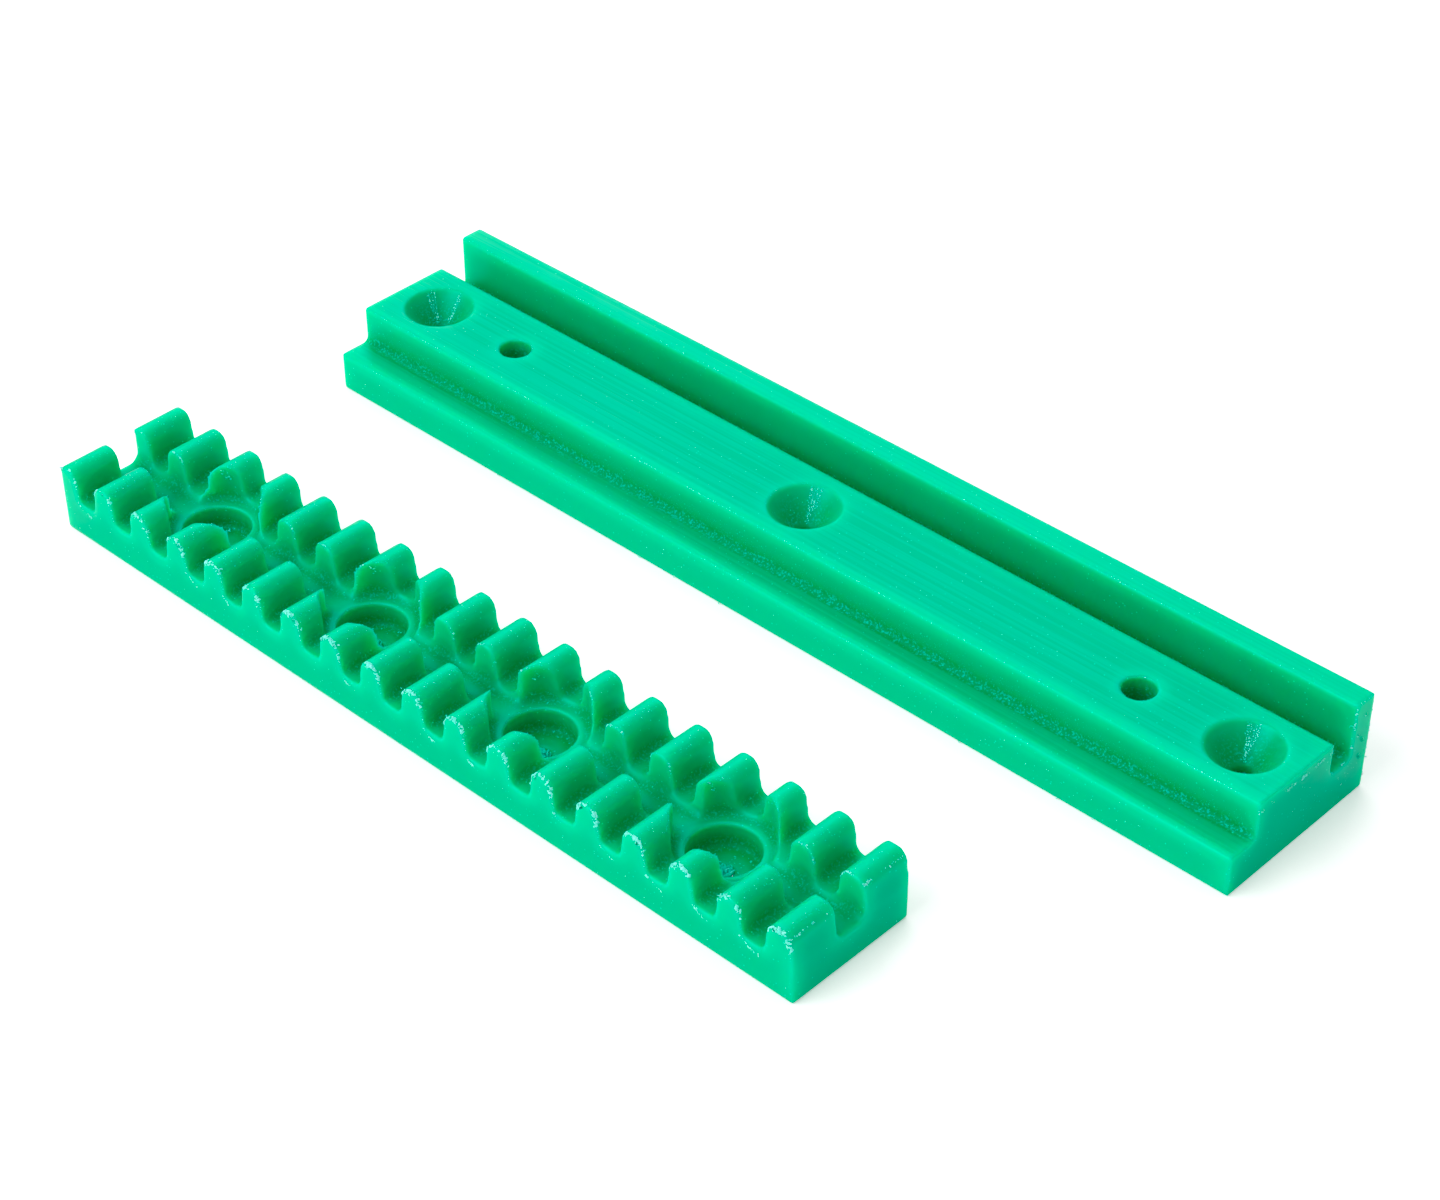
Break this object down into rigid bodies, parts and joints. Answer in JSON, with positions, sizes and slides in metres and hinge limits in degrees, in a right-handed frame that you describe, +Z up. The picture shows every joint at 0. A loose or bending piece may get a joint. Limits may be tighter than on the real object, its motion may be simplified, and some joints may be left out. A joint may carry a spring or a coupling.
{
  "type": "toothed rack and guide rail set",
  "caption": "Two-piece green plastic linear drive set: a rack with two parallel rows of teeth along a grooved bar, and a stepped, slotted guide rail with countersunk screw holes.",
  "frame": {"origin": "middle of the pair's footprint, on the plane both base faces stand on", "axes": "+X along both pieces, +Y from the rack towards the rail, +Z up from the base faces"},
  "size_m": [0.1632, 0.0786, 0.0152],
  "materials": {
    "green_plastic": "satin, slightly translucent and waxy"
  },
  "bodies": {
    "rail": {"guide_rail": "green_plastic"},
    "rack": {"toothed_rack": "green_plastic"}
  },
  "joints": [
    {"name": "rack_travel", "type": "slide", "parent": "rail", "child": "rack", "axis": [1, 0, 0], "range_m": [-0.06283, 0.06283]}
  ]
}
